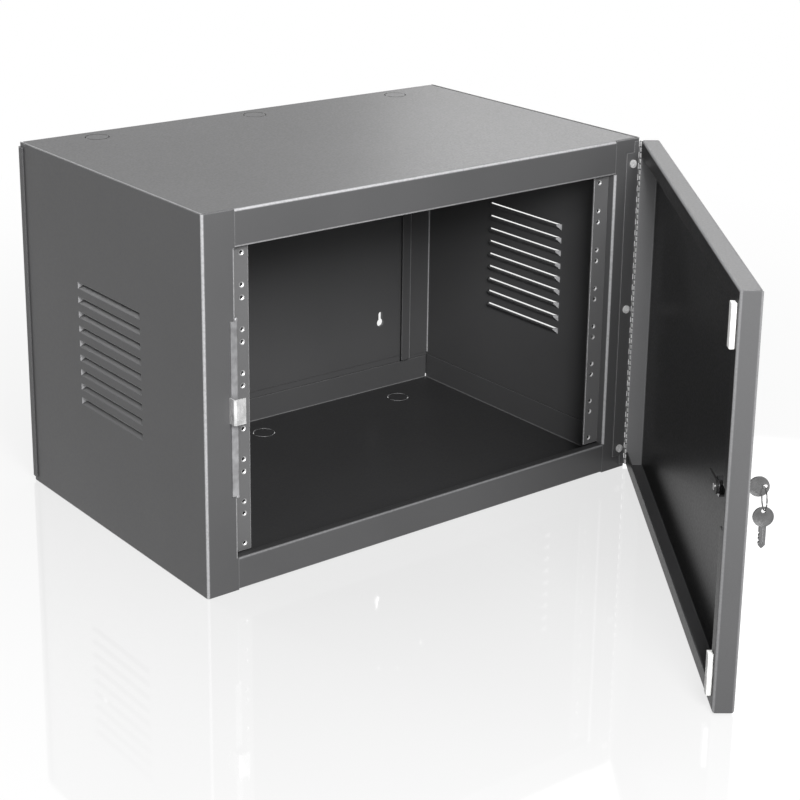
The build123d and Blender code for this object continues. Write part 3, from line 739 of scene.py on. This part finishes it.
# The groove runs down one side, and the cuts are notches of four depths in one edge.
bpy.ops.object.select_all(action="DESELECT")
bpy.ops.mesh.primitive_cube_add(size=1.0, location=groove_spot)
groove = bpy.context.object
groove.scale = groove_size
cut_away(blade, groove)
for cut_number, cut_side in enumerate(cut_sides):
    bpy.ops.object.select_all(action="DESELECT")
    bpy.ops.mesh.primitive_cube_add(
        size=1.0, rotation=(0.0, 0.0, math.radians(45.0)),
        location=(first_cut_x - cut_pitch * cut_number, -blade_half, 0.0))
    notch = bpy.context.object
    notch.scale = (cut_side, cut_side, 2 * key_thick)
    cut_away(blade, notch)
bpy.ops.object.select_all(action="DESELECT")
bpy.ops.mesh.primitive_cylinder_add(vertices=32, radius=bow_hole, depth=2 * key_thick,
                                    location=(-hole_from_middle, 0.0, 0.0))
cut_away(inserted_key, bpy.context.object)

# Bow and blade are one blank with eased edges.
bpy.ops.object.select_all(action="DESELECT")
blade.select_set(True)
inserted_key.select_set(True)
bpy.context.view_layer.objects.active = inserted_key
bpy.ops.object.join()
alone(inserted_key)
rounding = inserted_key.modifiers.new("rounding", "BEVEL")
rounding.width = 0.00015
rounding.segments = 2
rounding.limit_method = "ANGLE"
rounding.angle_limit = math.radians(40.0)
bpy.ops.object.modifier_apply(modifier="rounding")
hanging_key = own_copy(inserted_key)
hanging_key.name = "hanging_key"

key_bow_out = 0.0371
ring_out = 0.0427
lock_along = 0.5
spare_height = 0.16535
lock_place = door_frame @ Matrix.Translation((lock_along, key_bow_out, middle_height))
spare_place = door_frame @ Matrix.Translation((lock_along, ring_out, spare_height))
blade_inwards = Matrix(((0.0, 0.0, 1.0), (-1.0, 0.0, 0.0), (0.0, -1.0, 0.0))).to_4x4()
blade_down = Matrix(((0.0, 0.0, 1.0), (0.0, 1.0, 0.0), (-1.0, 0.0, 0.0))).to_4x4()
for key, key_place, key_node, key_body in (
    (inserted_key, lock_place @ blade_inwards, "key_in_lock", "lock_barrel"),
    (hanging_key, spare_place @ blade_down, "spare_key", "spare_key"),
):
    settle(key, key_place)
    bpy.ops.object.shade_smooth_by_angle(angle=math.radians(32.0))
    key.data.materials.append(key_nickel)
    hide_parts(key_node)
    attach(key, key_body)


# Key ring: a turn of hard steel wire whose cut ends almost meet, through both bows.
ring_steel = bare_metal("ring_wire_steel", (0.16, 0.16, 0.16), 0.2, (900.0, 900.0, 900.0))
ring_radius = 0.0102
wire_radius = 0.0006
ring_height = 0.18235
ring_turn = math.radians(354.0)
bpy.ops.object.select_all(action="DESELECT")
bpy.ops.mesh.primitive_circle_add(vertices=16, radius=wire_radius, fill_type="NGON",
                                  location=(ring_radius, 0.0, 0.0))
ring = bpy.context.object
ring.name = "wire_key_ring"
bpy.ops.object.transform_apply(location=True, rotation=False, scale=False)
bpy.ops.object.mode_set(mode="EDIT")
bpy.ops.mesh.select_all(action="SELECT")
bpy.ops.mesh.spin(steps=96, angle=ring_turn, center=(0.0, 0.0, 0.0), axis=(0.0, 1.0, 0.0))
bpy.ops.mesh.select_all(action="SELECT")
bpy.ops.mesh.normals_make_consistent(inside=False)
bpy.ops.object.mode_set(mode="OBJECT")
settle(ring, door_frame @ Matrix.Translation((lock_along, ring_out, ring_height)))
bpy.ops.object.shade_smooth_by_angle(angle=math.radians(40.0))
ring.data.materials.append(ring_steel)
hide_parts("key_ring")
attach(ring, "key_ring")
